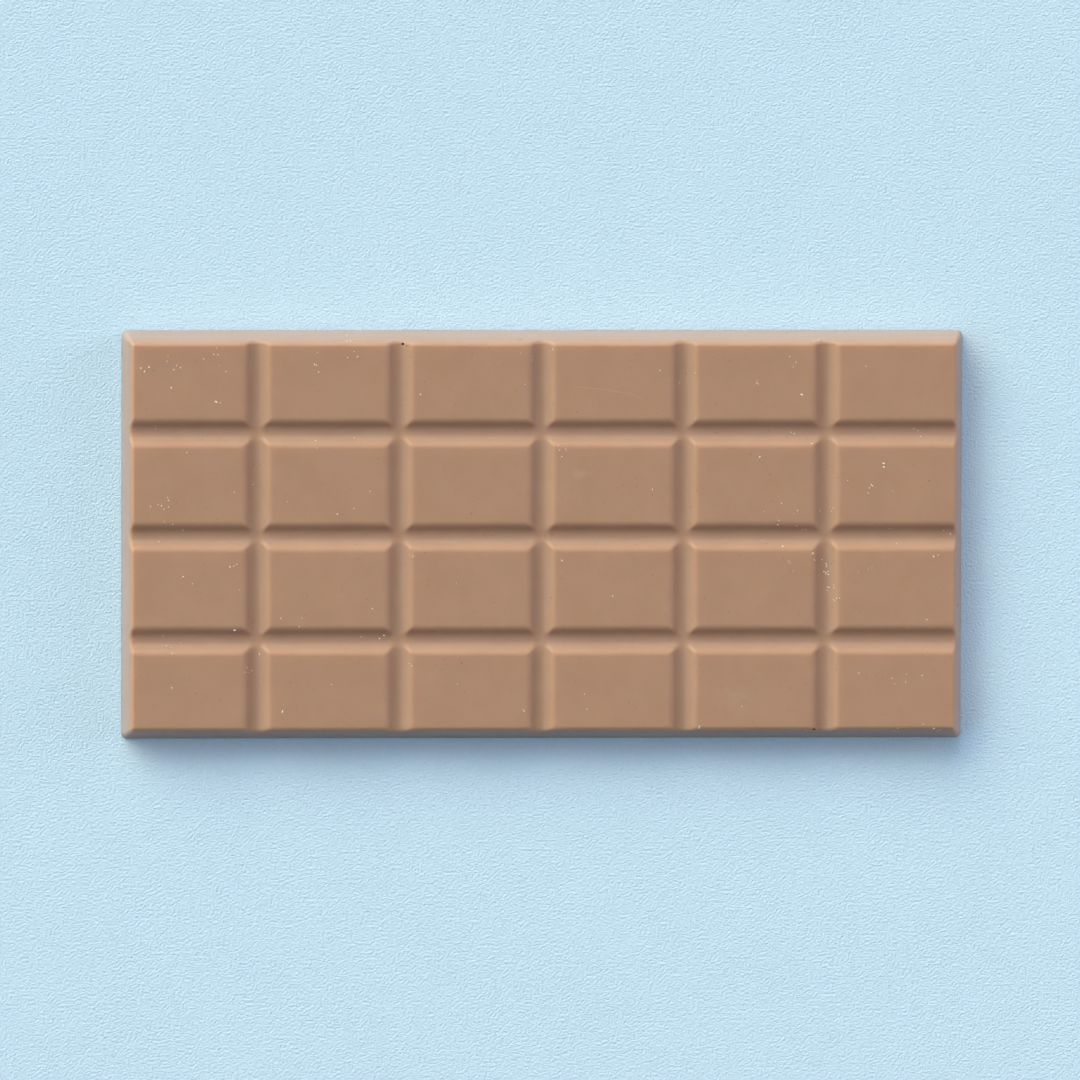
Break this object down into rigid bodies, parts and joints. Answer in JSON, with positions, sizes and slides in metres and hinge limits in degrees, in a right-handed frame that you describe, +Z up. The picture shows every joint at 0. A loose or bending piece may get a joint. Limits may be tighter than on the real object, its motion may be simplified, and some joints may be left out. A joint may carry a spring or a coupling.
{
  "type": "moulded chocolate bar",
  "caption": "Flat moulded bar of plain milk chocolate, scored by crossing grooves so that it snaps into small oblong pieces.",
  "frame": {"origin": "middle of the flat back that the bar lies on", "axes": "+X along the bar's length, +Y across it, +Z up from the flat back to the grooved face"},
  "size_m": [0.16, 0.0778, 0.007],
  "materials": {
    "milk_chocolate": "satin milk chocolate, as it leaves a smooth mould"
  },
  "bodies": {
    "root": {"chocolate_bar": "milk_chocolate"}
  },
  "joints": []
}
